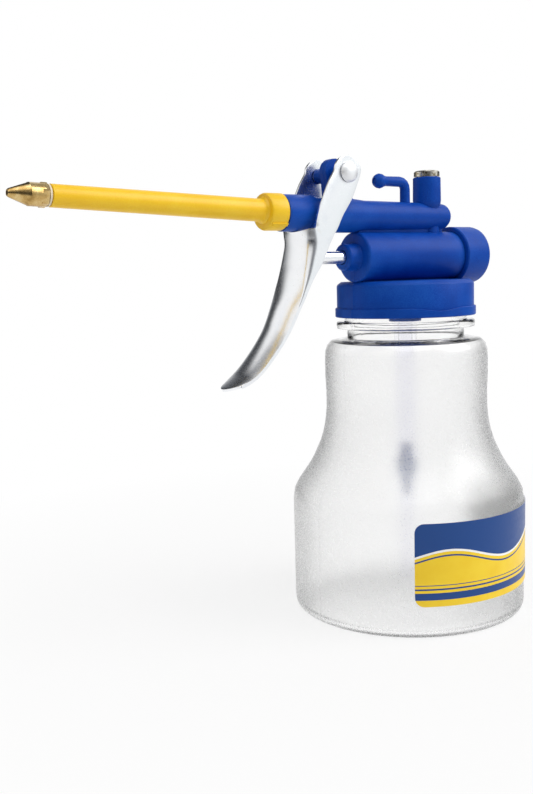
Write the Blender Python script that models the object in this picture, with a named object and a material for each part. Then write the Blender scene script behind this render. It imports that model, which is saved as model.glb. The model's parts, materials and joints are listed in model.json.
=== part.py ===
# Pump oil can: bottle, screw-on pump head, lever, plunger, valves and spout.
# Metres, +Z up. The origin is the centre of the bottle's base on the ground.
# The spout points along -X and the pump lies in the plane Y = 0.
import math

import bmesh
import bpy
from mathutils import Matrix, Vector

for old in list(bpy.data.objects):
    bpy.data.objects.remove(old, do_unlink=True)

# General
FIT = 0.0003            # play between pieces that touch
FINE = 48               # sides of the large round pieces
MEDIUM = 30
SMALL = 18

# Bottle
BODY_R = 0.0450         # wide part that carries the label
BODY_TOP = 0.0432       # where the wide part starts to draw in
WAIST_R = 0.0311
WAIST_Z = 0.0849
UPPER_R = 0.0314        # slight swell above the waist
SHOULDER_Z = 0.1058
NECK_R = 0.0225
RING_R = 0.0266         # ring under the cap
RING_Z = 0.1097
RING_TOP = 0.1124
MOUTH_R = 0.0236
MOUTH_BORE = 0.0210
MOUTH_Z = 0.1232
WALL = 0.0011

# Label
LABEL_BOTTOM = 0.0123
LABEL_TOP = 0.0426
LABEL_FROM = math.radians(-130.0)
LABEL_TO = math.radians(10.0)
LABEL_T = 0.0002

# Screw cap, part of the pump head
CAP_BOTTOM = 0.1141
CAP_TOP = 0.1278
CAP_R = 0.0263
CAP_BORE = 0.0250
CAP_PLATE = 0.0030
LIP_R = 0.0270
LIP_TOP = 0.1176
LIP_DIP = 0.0011        # depth of the two dips in the lip's upper edge
DIP_AT = math.radians(-103.0)
DIP_HALF = math.radians(24.0)

# Pump barrel, along X
BARREL_Z = 0.1368
BARREL_R = 0.0094
BARREL_FRONT = -0.0256
BARREL_REAR = 0.0235
BORE_R = 0.0070
BORE_FRONT = -0.0200
GLAND_R = 0.00495
GLAND_FRONT = -0.0311
SEAL_R = 0.0039
SEAL_FRONT = -0.0280
SPIGOT_R = 0.0084       # rear spigot that the end cap is pushed on
SPIGOT_END = 0.0310
END_R = 0.0113
END_FRONT = 0.0238
END_REAR = 0.0371
END_PLATE = 0.0045

# Plunger
ROD_R = 0.00236
ROD_TIP = -0.0518
STUB_R = 0.0016
PISTON_R = 0.0064
PISTON_L = 0.0060
PISTON_RING_R = 0.0067

# Discharge tube, along X above the barrel
TUBE_Z = 0.1520
SLEEVE_FRONT = -0.0587
SLEEVE_R = 0.0065
SLEEVE_Z = 0.1527
SLEEVE_REAR = -0.0455
SLEEVE_FADE = 0.0100    # length over which the sleeve dies into the tube
TUBE_FRONT_R = 0.0062
TUBE_FLARE = -0.0265    # the tube is at its front radius ahead of this
TUBE_R = 0.0056
TUBE_REAR_R = 0.0050
TUBE_REAR = 0.0220
FLOW_R = 0.0022
TIP_R = 0.0054          # spigot inside the spout's collar
TIP_FRONT = -0.0637
TIP_Z = 0.1530

# Delivery valve, along Z
VALVE_X = 0.0122
VALVE_R = 0.00535
VALVE_TOP = TUBE_Z + 0.0150
LINK_X = VALVE_X + 0.0016
LINK_R = 0.0034
SEAT_Z = TUBE_Z - 0.0025
CHAMBER_R = 0.0030
POCKET_R = 0.0042
POCKET_Z = VALVE_TOP - 0.0070
PLUG_R = 0.0050
PLUG_TOP = VALVE_TOP + 0.0028
BALL_R = 0.0020

# Hook
HOOK_X = 0.0006
HOOK_R = 0.0019
HOOK_ARM_Z = 0.1650
HOOK_BALL_X = -0.0124
HOOK_BALL_R = 0.00275

# Lug and pivot
PIVOT_X = -0.0350
PIVOT_Z = 0.1667
LUG_R = 0.0045
LUG_HALF = 0.00175
BOSS_R = 0.00275
PIN_R = 0.00175
PIN_HEAD_R = 0.0037
PIN_HEAD_T = 0.0019

# Lever, a pressed sheet
LEVER_HALF = 0.0091     # half of the outer width
LEVER_T = 0.0010
EAR_R = 0.0060

# Spout and nozzle
COLLAR_R = 0.0065
COLLAR_FRONT = -0.0662
COLLAR_REAR = -0.0590
SPOUT_ROOT_R = 0.00395
SPOUT_END_R = 0.00355
SPOUT_END = -0.1446
SPOUT_RISE = math.radians(2.55)
SPOUT_ROOT_Z = 0.15346
HEX_R = 0.0039
HEX_L = 0.0020
HEX_TURN = math.radians(46.0)
NOZZLE_R = 0.0036
NOZZLE_TIP_R = 0.00115
NOZZLE_L = 0.0120        # from the hexagon's rear face to the tip
WASHER_T = 0.0006

# Suction side, along Z on the bottle's axis
SOCKET_R = 0.0062
SOCKET_BOTTOM = 0.1120
SUCTION_R = 0.0043
SUCTION_BORE = 0.0026
SUCTION_TOP = 0.1217
SUCTION_BOTTOM = 0.0578
INLET_R = 0.0016
INLET_BALL_R = 0.0015
HOSE_R = 0.0028
HOSE_BORE = 0.0020
HOSE_BOTTOM = 0.0090
FOOT_L = 0.0140         # foot valve below the suction tube

# Springs, at the middle of the wire
RETURN_R = 0.0052
RETURN_WIRE = 0.00045
OUTLET_R = 0.0019
OUTLET_WIRE = 0.00025

# Stuffs: colour, roughness, metallic, clearness
CLEAR = ("E6E7E8", 0.30, 0.0, 0.85)
PAPER = ("2F5597", 0.35, 0.0, 0.0)
BLUE = ("1F4A9F", 0.42, 0.0, 0.0)
DARK_BLUE = ("1B2F6B", 0.45, 0.0, 0.0)
YELLOW = ("FBCB1B", 0.38, 0.0, 0.0)
BRASS = ("D9AE6B", 0.28, 1.0, 0.0)
NICKEL = ("B9AE98", 0.35, 1.0, 0.0)
PLATED = ("D5D7DA", 0.25, 1.0, 0.0)
STEEL = ("A9ACB0", 0.30, 1.0, 0.0)
RUBBER = ("1D1D1E", 0.75, 0.0, 0.0)
WHITE = ("EFEFEA", 0.40, 0.0, 0.0)
WASHER = ("F0EDE2", 0.40, 0.0, 0.0)
TUBE = ("DFE3E6", 0.35, 0.0, 0.5)


def srgb(value):
    return value / 12.92 if value <= 0.04045 else ((value + 0.055) / 1.055) ** 2.4


def material(name, stuff):
    """A Principled material of its own for one piece, from a row of the table of stuffs."""
    hex_colour, roughness, metallic, clear = stuff
    made = bpy.data.materials.new(name)
    made.use_nodes = True
    shader = made.node_tree.nodes["Principled BSDF"]
    parts = [srgb(int(hex_colour[i:i + 2], 16) / 255.0) for i in (0, 2, 4)]
    shader.inputs["Base Color"].default_value = (*parts, 1.0)
    shader.inputs["Roughness"].default_value = roughness
    shader.inputs["Metallic"].default_value = metallic
    shader.inputs["Transmission Weight"].default_value = clear
    made.diffuse_color = (*parts, 1.0)
    return made


def solid(name, verts, faces):
    """A closed mesh object from vertices and faces, with its normals turned outwards."""
    mesh = bpy.data.meshes.new(name)
    mesh.from_pydata([tuple(v) for v in verts], [], faces)
    work = bmesh.new()
    work.from_mesh(mesh)
    bmesh.ops.recalc_face_normals(work, faces=work.faces)
    work.to_mesh(mesh)
    work.free()
    mesh.update()
    made = bpy.data.objects.new(name, mesh)
    bpy.context.scene.collection.objects.link(made)
    return made


def on_axis(axis, centre, radius, along, angle):
    c, s = radius * math.cos(angle), radius * math.sin(angle)
    if axis == "X":
        return Vector((along, centre[1] + c, centre[2] + s))
    if axis == "Y":
        return Vector((centre[0] + s, along, centre[2] + c))
    return Vector((centre[0] + c, centre[1] + s, along))


def lathe(name, profile, steps, axis="Z", centre=(0.0, 0.0, 0.0), phase=0.0):
    """Turn a profile of (radius, place along the axis). It either starts and ends on the
    axis, or is a loop that never touches it."""
    verts, rings = [], []
    for radius, along in profile:
        if radius < 1e-9:
            rings.append([len(verts)])
            verts.append(on_axis(axis, centre, 0.0, along, 0.0))
        else:
            rings.append(list(range(len(verts), len(verts) + steps)))
            verts += [on_axis(axis, centre, radius, along, phase + 2 * math.pi * k / steps)
                      for k in range(steps)]
    pairs = list(zip(rings, rings[1:]))
    if len(rings[0]) > 1:
        pairs.append((rings[-1], rings[0]))
    faces = []
    for a, b in pairs:
        for k in range(steps):
            n = (k + 1) % steps
            if len(a) == 1 and len(b) == 1:
                continue
            if len(a) == 1:
                faces.append((a[0], b[k], b[n]))
            elif len(b) == 1:
                faces.append((a[k], b[0], a[n]))
            else:
                faces.append((a[k], b[k], b[n], a[n]))
    return solid(name, verts, faces)


def rod_along(name, radius, start, end, steps, axis, centre, phase=0.0):
    return lathe(name, [(0, start), (radius, start), (radius, end), (0, end)], steps, axis,
                 centre, phase)


def prism(name, outline, low, high):
    """An outline of (x, z) points pulled along Y from low to high."""
    count = len(outline)
    verts = [(x, low, z) for x, z in outline] + [(x, high, z) for x, z in outline]
    faces = [tuple(range(count)), tuple(range(2 * count - 1, count - 1, -1))]
    for k in range(count):
        n = (k + 1) % count
        faces.append((k, n, count + n, count + k))
    return solid(name, verts, faces)


def box(name, low, high):
    outline = [(low[0], low[2]), (high[0], low[2]), (high[0], high[2]), (low[0], high[2])]
    return prism(name, outline, low[1], high[1])


def sweep_flat(name, stations, steps):
    """Rings of (x, z, direction angle in the plane Y = 0, radius), closed at both ends."""
    verts, faces = [], []
    for x, z, angle, radius in stations:
        side = Vector((-math.sin(angle), 0.0, math.cos(angle)))
        for k in range(steps):
            turn = 2 * math.pi * k / steps
            verts.append(Vector((x, 0.0, z)) + radius * (math.cos(turn) * side
                         + math.sin(turn) * Vector((0.0, 1.0, 0.0))))
    last = len(stations) - 1
    for i in range(last):
        for k in range(steps):
            n = (k + 1) % steps
            faces.append((i * steps + k, (i + 1) * steps + k, (i + 1) * steps + n, i * steps + n))
    faces.append(tuple(range(steps)))
    faces.append(tuple(range((last + 1) * steps - 1, last * steps - 1, -1)))
    return solid(name, verts, faces)


def combine(target, others, how):
    """Join the other solids to the target, or cut them out of it, and drop them."""
    for other in others:
        step = target.modifiers.new(how, "BOOLEAN")
        step.operation = how
        step.solver = "EXACT"
        step.object = other
        other.hide_render = True
        other.display_type = "WIRE"
        bpy.context.view_layer.update()
        graph = bpy.context.evaluated_depsgraph_get()
        mesh = bpy.data.meshes.new_from_object(target.evaluated_get(graph))
        target.modifiers.clear()
        target.data = mesh
        bpy.data.objects.remove(other, do_unlink=True)
    return target


def finish(made, stuff, origin=(0.0, 0.0, 0.0), smooth=35.0):
    """Weld doubles, set the material, the shading and the place of the origin."""
    work = bmesh.new()
    work.from_mesh(made.data)
    bmesh.ops.remove_doubles(work, verts=work.verts, dist=1e-6)
    bmesh.ops.recalc_face_normals(work, faces=work.faces)
    work.to_mesh(made.data)
    work.free()
    made.data.transform(Matrix.Translation(-Vector(origin)))
    made.location = origin
    made.data.materials.clear()
    made.data.materials.append(material(made.name + "_stuff", stuff))
    made.data.shade_smooth()
    made.data.set_sharp_from_angle(angle=math.radians(smooth))
    made.data.name = made.name
    return made


def rounded(radius_big, radius_small, at, towards, steps=3):
    """Quarter-round points from the side (big radius) to the face (small radius)."""
    depth = radius_big - radius_small
    points = []
    for k in range(steps + 1):
        turn = 0.5 * math.pi * k / steps
        points.append((radius_small + depth * math.cos(turn),
                       at - towards * depth * (1.0 - math.sin(turn))))
    return points


def make_bottle():
    flank = [(0.964, 0.079), (0.849, 0.156), (0.691, 0.233), (0.525, 0.312), (0.396, 0.388),
             (0.288, 0.465), (0.187, 0.542), (0.115, 0.619), (0.065, 0.695), (0.029, 0.770),
             (0.007, 0.847)]
    draw_in = [(WAIST_R + (BODY_R - WAIST_R) * f, BODY_TOP + (WAIST_Z - BODY_TOP) * g)
               for f, g in flank]
    rise = SHOULDER_Z - WAIST_Z
    over = UPPER_R - NECK_R
    shoulder = [(WAIST_R, WAIST_Z), (UPPER_R, WAIST_Z + 0.30 * rise),
                (UPPER_R, WAIST_Z + 0.60 * rise), (NECK_R + 0.978 * over, WAIST_Z + 0.77 * rise),
                (NECK_R + 0.900 * over, WAIST_Z + 0.88 * rise),
                (NECK_R + 0.720 * over, WAIST_Z + 0.96 * rise),
                (NECK_R + 0.400 * over, WAIST_Z + 0.99 * rise)]
    foot = [(BODY_R - 0.0030, 0.0), (BODY_R - 0.0014, 0.0006), (BODY_R - 0.0004, 0.0019),
            (BODY_R, 0.0038)]
    side = foot + [(BODY_R, BODY_TOP)] + draw_in + shoulder
    outside = [(0.0, 0.0)] + side + [
        (NECK_R, SHOULDER_Z), (NECK_R, RING_Z), (RING_R - 0.0005, RING_Z),
        (RING_R, RING_Z + 0.0005), (RING_R, RING_TOP - 0.0005), (RING_R - 0.0005, RING_TOP),
        (MOUTH_R, RING_TOP), (MOUTH_R, MOUTH_Z - 0.0006), (MOUTH_R - 0.0006, MOUTH_Z)]
    inside = [(MOUTH_BORE + 0.0004, MOUTH_Z), (MOUTH_BORE, MOUTH_Z - 0.0005),
              (MOUTH_BORE, SHOULDER_Z - 0.0008)]
    for place in range(len(side) - 2, 3, -1):
        (r0, z0), (r1, z1) = side[place - 1], side[place + 1]
        run = math.hypot(r1 - r0, z1 - z0)
        r, z = side[place]
        inner = (r - WALL * (z1 - z0) / run, z + WALL * (r1 - r0) / run)
        if inner[0] > MOUTH_BORE + 0.0006 and (place % 2 or place < 6):
            inside.append(inner)
    inside += [(BODY_R - WALL, 0.0042), (BODY_R - 0.0022, 0.0021), (BODY_R - 0.0040, 0.0014),
               (0.0, 0.0014)]
    bottle = lathe("bottle", outside + inside, FINE)
    return finish(bottle, CLEAR)


def make_label():
    corner = 0.0034
    low_r = BODY_R + FIT
    high_r = low_r + LABEL_T
    bend = corner / low_r
    rims = [corner * math.sin(0.5 * math.pi * k / 6) for k in range(7)]
    edge_in = [(bend * (1.0 - math.cos(0.5 * math.pi * k / 6)), corner - rims[k])
               for k in range(7)]
    columns = [(LABEL_FROM + turn, pull) for turn, pull in edge_in]
    middle = LABEL_TO - LABEL_FROM - 2 * bend
    columns += [(LABEL_FROM + bend + middle * k / 34, 0.0) for k in range(1, 34)]
    columns += [(LABEL_TO - turn, pull) for turn, pull in reversed(edge_in)]
    verts, faces = [], []
    for angle, pull in columns:
        low, high = LABEL_BOTTOM + pull, LABEL_TOP - pull
        for radius, z in ((low_r, low), (high_r, low), (high_r, high), (low_r, high)):
            verts.append((radius * math.cos(angle), radius * math.sin(angle), z))
    last = len(columns) - 1
    for k in range(last):
        a, b = 4 * k, 4 * k + 4
        for i in range(4):
            n = (i + 1) % 4
            faces.append((a + i, b + i, b + n, a + n))
    faces += [(0, 1, 2, 3), (4 * last + 3, 4 * last + 2, 4 * last + 1, 4 * last)]
    return finish(solid("label", verts, faces), PAPER)


def lip_ring():
    """The flared lip of the cap; its upper edge dips on two opposite sides."""
    verts, faces = [], []
    bore = CAP_BORE + 0.0006
    count = FINE
    for k in range(count):
        angle = 2 * math.pi * k / count
        top = LIP_TOP
        for centre in (DIP_AT, DIP_AT + math.pi):
            off = abs((angle - centre + math.pi) % (2 * math.pi) - math.pi)
            if off < DIP_HALF:
                top -= LIP_DIP * math.cos(0.5 * math.pi * off / DIP_HALF) ** 2
        for radius, z in ((bore, CAP_BOTTOM), (LIP_R - 0.0003, CAP_BOTTOM),
                          (LIP_R, CAP_BOTTOM + 0.0003), (LIP_R, top - 0.0002),
                          (LIP_R - 0.0002, top), (bore, top)):
            verts.append((radius * math.cos(angle), radius * math.sin(angle), z))
    for k in range(count):
        a, b = 6 * k, 6 * ((k + 1) % count)
        for i in range(6):
            n = (i + 1) % 6
            faces.append((a + i, b + i, b + n, a + n))
    return solid("lip", verts, faces)


def hook():
    """Stalk, bend, arm and ball end with a dimple, as one swept body."""
    bend = 0.0028
    down = -math.radians(90.0)
    stations = [(HOOK_X, TUBE_Z, down + math.pi, HOOK_R * 1.05),
                (HOOK_X, HOOK_ARM_Z - bend, down + math.pi, HOOK_R)]
    for k in range(1, 5):
        turn = 0.5 * math.pi * k / 4
        stations.append((HOOK_X - bend * (1 - math.cos(turn)),
                         HOOK_ARM_Z - bend * (1 - math.sin(turn)),
                         0.5 * math.pi + turn, HOOK_R))
    arm = HOOK_R * 0.95
    cx, cz, r = HOOK_BALL_X, HOOK_ARM_Z, HOOK_BALL_R
    stations.append((cx + 1.05 * r, HOOK_ARM_Z, math.pi, arm))
    for turn in (30.0, 50.0, 70.0, 90.0, 110.0, 130.0, 155.0):
        a = math.radians(turn)
        wide = r * math.sin(a) if turn > 40 else arm * 1.12
        stations.append((cx + r * math.cos(a), cz, math.pi, wide))
    stations.append((cx - 0.72 * r, cz, math.pi, 0.0011))
    return sweep_flat("hook", stations, SMALL)


def lug():
    right, left, arc_z = -0.0270, -0.0382, PIVOT_Z + 0.0010
    outline = [(left, TUBE_Z), (left - 0.0004, PIVOT_Z - 0.0070)]
    for k in range(13):
        turn = math.radians(205.0 - 20.0 * k)
        if math.degrees(turn) < -20.0:
            break
        outline.append((PIVOT_X + LUG_R * math.cos(turn), arc_z + LUG_R * math.sin(turn)))
    outline += [(right - 0.0012, PIVOT_Z - 0.0060), (right, PIVOT_Z - 0.0082),
                (right + 0.0006, TUBE_Z)]
    return prism("lug", outline, -LUG_HALF, LUG_HALF)


def make_head():
    top, plate = CAP_TOP, CAP_TOP - CAP_PLATE
    head = lathe("pump_head", [
        (0.0, top), (CAP_R - 0.0017, top - 0.0002), (CAP_R - 0.0004, top - 0.0011),
        (CAP_R, top - 0.0018), (CAP_R, CAP_BOTTOM + 0.0003), (CAP_BORE, CAP_BOTTOM + 0.0003),
        (CAP_BORE, plate), (SOCKET_R, plate), (SOCKET_R, SOCKET_BOTTOM), (0.0, SOCKET_BOTTOM)],
        FINE)
    barrel = lathe("barrel", [(0.0, BARREL_FRONT)]
                   + rounded(BARREL_R, BARREL_R - 0.0010, BARREL_FRONT, -1)[::-1]
                   + [(BARREL_R, BARREL_REAR), (SPIGOT_R, BARREL_REAR),
                      (SPIGOT_R, SPIGOT_END), (0.0, SPIGOT_END)],
                   FINE, "X", (0, 0, BARREL_Z))
    gland = lathe("gland", [(0.0, GLAND_FRONT), (GLAND_R - 0.0006, GLAND_FRONT),
                            (GLAND_R, GLAND_FRONT + 0.0006), (GLAND_R, BARREL_FRONT - 0.0006),
                            (GLAND_R + 0.0006, BARREL_FRONT + 0.0005),
                            (0.0, BARREL_FRONT + 0.0005)], MEDIUM, "X", (0, 0, BARREL_Z))
    sleeve = lathe("sleeve", [(0.0, SLEEVE_FRONT), (SLEEVE_R, SLEEVE_FRONT),
                              (SLEEVE_R, SLEEVE_REAR - 0.0006), (SLEEVE_R - 0.0003, SLEEVE_REAR),
                              (TUBE_R - 0.0010, SLEEVE_REAR + SLEEVE_FADE),
                              (0.0, SLEEVE_REAR + SLEEVE_FADE)],
                   MEDIUM, "X", (0, 0, SLEEVE_Z), 0.05)
    tube = lathe("tube", [(0.0, SLEEVE_REAR - 0.0030), (TUBE_FRONT_R, SLEEVE_REAR - 0.0030),
                          (TUBE_FRONT_R, TUBE_FLARE), (TUBE_R, TUBE_FLARE + 0.0060),
                          (TUBE_R - 0.0002, 0.0), (TUBE_REAR_R, TUBE_REAR - 0.0030)]
                 + rounded(TUBE_REAR_R, TUBE_REAR_R - 0.0030, TUBE_REAR, 1, 4)[1:]
                 + [(0.0, TUBE_REAR)], MEDIUM, "X", (0, 0, TUBE_Z))
    tip = rod_along("tip", TIP_R, TIP_FRONT, SLEEVE_FRONT + 0.0010, MEDIUM, "X", (0, 0, TIP_Z),
                    0.09)
    web = box("web", (BARREL_FRONT + 0.0012, -0.00175, BARREL_Z + 0.5 * BARREL_R),
              (TUBE_REAR - 0.0035, 0.00175, TUBE_Z - 0.0011))
    link = rod_along("link", LINK_R, BARREL_Z + 0.5 * BARREL_R, TUBE_Z, MEDIUM, "Z",
                     (LINK_X, 0, 0), 0.083)
    boss = lathe("boss", [(0.0, TUBE_Z - 0.0003), (0.7 * VALVE_R, TUBE_Z - 0.0003),
                          (0.73 * VALVE_R, TUBE_Z + 0.4 * TUBE_R),
                          (0.80 * VALVE_R, TUBE_Z + 0.54 * TUBE_R),
                          (0.91 * VALVE_R, TUBE_Z + 0.70 * TUBE_R),
                          (0.99 * VALVE_R, TUBE_Z + 0.87 * TUBE_R),
                          (VALVE_R + 0.0001, TUBE_Z + 1.1 * TUBE_R),
                          (VALVE_R, VALVE_TOP - 0.0003), (VALVE_R - 0.0003, VALVE_TOP),
                          (0.0, VALVE_TOP)], MEDIUM, "Z", (VALVE_X, 0, 0), 0.11)
    saddle = box("saddle", (BARREL_FRONT + 0.0020, -0.0030, CAP_TOP - 0.0012),
                 (0.0205, 0.0030, BARREL_Z - 0.5 * BARREL_R))
    pin_bosses = rod_along("pin_bosses", BOSS_R, -0.0076, 0.0076, SMALL, "Y",
                           (PIVOT_X, 0, PIVOT_Z))
    combine(head, [lip_ring(), saddle, barrel, gland, web, tube, sleeve, tip, link, boss,
                   hook(), lug(), pin_bosses], "UNION")
    bore = lathe("bore", [(0.0, GLAND_FRONT - 0.01), (ROD_R + FIT, GLAND_FRONT - 0.01),
                          (ROD_R + FIT, SEAL_FRONT), (SEAL_R, SEAL_FRONT), (SEAL_R, BORE_FRONT),
                          (BORE_R, BORE_FRONT), (BORE_R, SPIGOT_END + 0.01),
                          (0.0, SPIGOT_END + 0.01)], MEDIUM, "X", (0, 0, BARREL_Z), 0.03)
    flow = rod_along("flow", FLOW_R, TIP_FRONT - 0.01, VALVE_X, SMALL, "X", (0, 0, TIP_Z), 0.07)
    valve = lathe("valve", [(0.0, BARREL_Z), (BALL_R * 0.75, BARREL_Z), (BALL_R * 0.75, SEAT_Z),
                            (CHAMBER_R, SEAT_Z + 0.0012), (CHAMBER_R, POCKET_Z),
                            (POCKET_R, POCKET_Z), (POCKET_R, VALVE_TOP + 0.01),
                            (0.0, VALVE_TOP + 0.01)], SMALL + 4, "Z", (VALVE_X, 0, 0), 0.05)
    inlet = lathe("inlet", [(0.0, BARREL_Z), (INLET_R, BARREL_Z), (INLET_R, SUCTION_TOP + FIT),
                            (SUCTION_R + FIT, SUCTION_TOP + FIT),
                            (SUCTION_R + FIT, SOCKET_BOTTOM - 0.01),
                            (0.0, SOCKET_BOTTOM - 0.01)], MEDIUM, "Z", (0, 0, 0), 0.04)
    pin_hole = rod_along("pin_hole", PIN_R + FIT, -2 * LEVER_HALF, 2 * LEVER_HALF, SMALL, "Y",
                         (PIVOT_X, 0, PIVOT_Z), 0.05)
    relief = rod_along("relief", END_R + FIT, END_FRONT - FIT, END_REAR + 0.01, FINE, "X",
                       (0, 0, BARREL_Z), 0.02)
    keep = rod_along("keep", BARREL_R - 0.0004, END_FRONT - 0.01, END_REAR + 0.02, FINE, "X",
                     (0, 0, BARREL_Z), 0.05)
    combine(relief, [keep], "DIFFERENCE")
    combine(head, [bore, flow, valve, inlet, pin_hole, relief], "DIFFERENCE")
    return finish(head, BLUE)


def make_end_cap():
    cap = lathe("barrel_cap", [
        (0.0, END_REAR), (END_R - 0.0026, END_REAR), (END_R - 0.0012, END_REAR - 0.0004),
        (END_R - 0.0003, END_REAR - 0.0013), (END_R, END_REAR - 0.0026),
        (END_R, END_FRONT + 0.0004), (END_R - 0.0004, END_FRONT), (SPIGOT_R + FIT, END_FRONT),
        (SPIGOT_R + FIT, END_REAR - END_PLATE), (0.0, END_REAR - END_PLATE)],
        FINE, "X", (0, 0, BARREL_Z))
    finish(cap, BLUE)
    ring = lathe("barrel_cap_ring", [
        (BORE_R + 0.0002, SPIGOT_END + FIT), (SPIGOT_R - 0.0002, SPIGOT_END + FIT),
        (SPIGOT_R - 0.0002, END_REAR - END_PLATE - FIT),
        (BORE_R + 0.0002, END_REAR - END_PLATE - FIT)], MEDIUM, "X", (0, 0, BARREL_Z))
    finish(ring, RUBBER)


def make_plunger():
    rear = BORE_FRONT + FIT + PISTON_L
    rod = lathe("plunger_rod", [
        (0.0, ROD_TIP), (0.5 * ROD_R, ROD_TIP + 0.0002), (0.85 * ROD_R, ROD_TIP + 0.0006),
        (ROD_R, ROD_TIP + 0.0014), (ROD_R, BORE_FRONT), (STUB_R, BORE_FRONT),
        (STUB_R, rear + 0.0010), (STUB_R - 0.0004, rear + 0.0014), (0.0, rear + 0.0014)],
        SMALL + 4, "X", (0, 0, BARREL_Z))
    finish(rod, PLATED, (ROD_TIP, 0, BARREL_Z))
    front, groove = BORE_FRONT + FIT, PISTON_RING_R - 0.0013
    piston = lathe("piston", [
        (STUB_R + FIT, front), (PISTON_R - 0.0003, front), (PISTON_R, front + 0.0003),
        (PISTON_R, front + 0.0018), (groove, front + 0.0018), (groove, front + 0.0042),
        (PISTON_R, front + 0.0042), (PISTON_R, rear - 0.0003), (PISTON_R - 0.0003, rear),
        (STUB_R + FIT, rear)], MEDIUM, "X", (0, 0, BARREL_Z))
    finish(piston, WHITE, (front, 0, BARREL_Z))
    ring = lathe("piston_ring", [
        (groove + FIT, front + 0.0021), (PISTON_RING_R - 0.0003, front + 0.0021),
        (PISTON_RING_R, front + 0.0024), (PISTON_RING_R, front + 0.0036),
        (PISTON_RING_R - 0.0003, front + 0.0039), (groove + FIT, front + 0.0039)],
        MEDIUM, "X", (0, 0, BARREL_Z))
    finish(ring, RUBBER, (front, 0, BARREL_Z))
    seal = lathe("gland_seal", [
        (ROD_R + FIT, SEAL_FRONT + FIT), (SEAL_R - FIT, SEAL_FRONT + FIT),
        (SEAL_R - FIT, SEAL_FRONT + 0.0050), (ROD_R + FIT, SEAL_FRONT + 0.0050)],
        SMALL + 4, "X", (0, 0, BARREL_Z))
    finish(seal, RUBBER)


def make_spring(name, start, end, mean_r, wire_r, turns, around, sides, axis, centre):
    """A helical spring whose last half turn at each end lies almost flat."""
    count = int(turns * around)
    rise = end - start - 2 * wire_r
    verts, faces = [], []
    shares = []
    for k in range(count + 1):
        turn = turns * k / count
        share = (turn - 0.5) / (turns - 1.0)
        flat = 0.35 * (2 * wire_r) / max(rise, 1e-6)
        if turn < 0.5:
            share = flat * (turn / 0.5)
        elif turn > turns - 0.5:
            share = 1.0 - flat * ((turns - turn) / 0.5)
        else:
            share = flat + (1.0 - 2 * flat) * share
        shares.append(share)
        angle = 2 * math.pi * turn
        along = start + wire_r + rise * share
        for i in range(sides):
            bend = 2 * math.pi * i / sides
            verts.append(on_axis(axis, centre, mean_r + wire_r * math.cos(bend),
                                 along + wire_r * math.sin(bend), angle))
    for k in range(count):
        for i in range(sides):
            n = (i + 1) % sides
            faces.append((k * sides + i, (k + 1) * sides + i, (k + 1) * sides + n, k * sides + n))
    faces += [tuple(range(sides)), tuple(range((count + 1) * sides - 1, count * sides - 1, -1))]
    return solid(name, verts, faces)


def ball(name, radius, centre, stuff):
    profile = [(0.0, centre[2] - radius)]
    profile += [(radius * math.sin(math.pi * k / 8), centre[2] - radius * math.cos(math.pi * k / 8))
                for k in range(1, 8)]
    profile.append((0.0, centre[2] + radius))
    made = lathe(name, profile, 16, "Z", (centre[0], centre[1], 0.0))
    return finish(made, stuff, centre)


def make_valve():
    washer_top = POCKET_Z + FIT + 0.0007
    washer = lathe("plug_washer", [
        (CHAMBER_R + 0.0001, POCKET_Z + FIT), (POCKET_R - FIT, POCKET_Z + FIT),
        (POCKET_R - FIT, washer_top), (CHAMBER_R + 0.0001, washer_top)],
        SMALL + 4, "Z", (VALVE_X, 0, 0))
    finish(washer, RUBBER)
    shank = washer_top + FIT
    plug = lathe("valve_plug", [
        (0.0, PLUG_TOP), (0.55 * PLUG_R, PLUG_TOP - 0.0001), (PLUG_R - 0.0004, PLUG_TOP - 0.0004),
        (PLUG_R, PLUG_TOP - 0.0008), (PLUG_R, VALVE_TOP + FIT), (POCKET_R - FIT, VALVE_TOP + FIT),
        (POCKET_R - FIT, shank), (0.0, shank)], MEDIUM, "Z", (VALVE_X, 0, 0))
    finish(plug, NICKEL)
    rest = SEAT_Z + FIT + math.sqrt(BALL_R ** 2 - (0.75 * BALL_R) ** 2)
    ball("outlet_ball", BALL_R, (VALVE_X, 0.0, rest), STEEL)
    spring = make_spring("outlet_spring", rest + BALL_R + FIT, shank - FIT, OUTLET_R,
                         OUTLET_WIRE, 6, 12, 4, "Z", (VALVE_X, 0, 0))
    finish(spring, STEEL, (VALVE_X, 0, shank))
    back = make_spring("return_spring", BORE_FRONT + 2 * FIT + PISTON_L,
                       END_REAR - END_PLATE - FIT, RETURN_R, RETURN_WIRE, 13, 13, 5, "X",
                       (0, 0, BARREL_Z))
    finish(back, STEEL, (END_REAR - END_PLATE, 0, BARREL_Z))


def spout_frame():
    """Turns a body made along X at the height of the spout's root to the spout's rise."""
    root = Vector((COLLAR_FRONT, 0.0, SPOUT_ROOT_Z))
    return (Matrix.Translation(root) @ Matrix.Rotation(SPOUT_RISE, 4, "Y")
            @ Matrix.Translation(-root))


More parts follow.
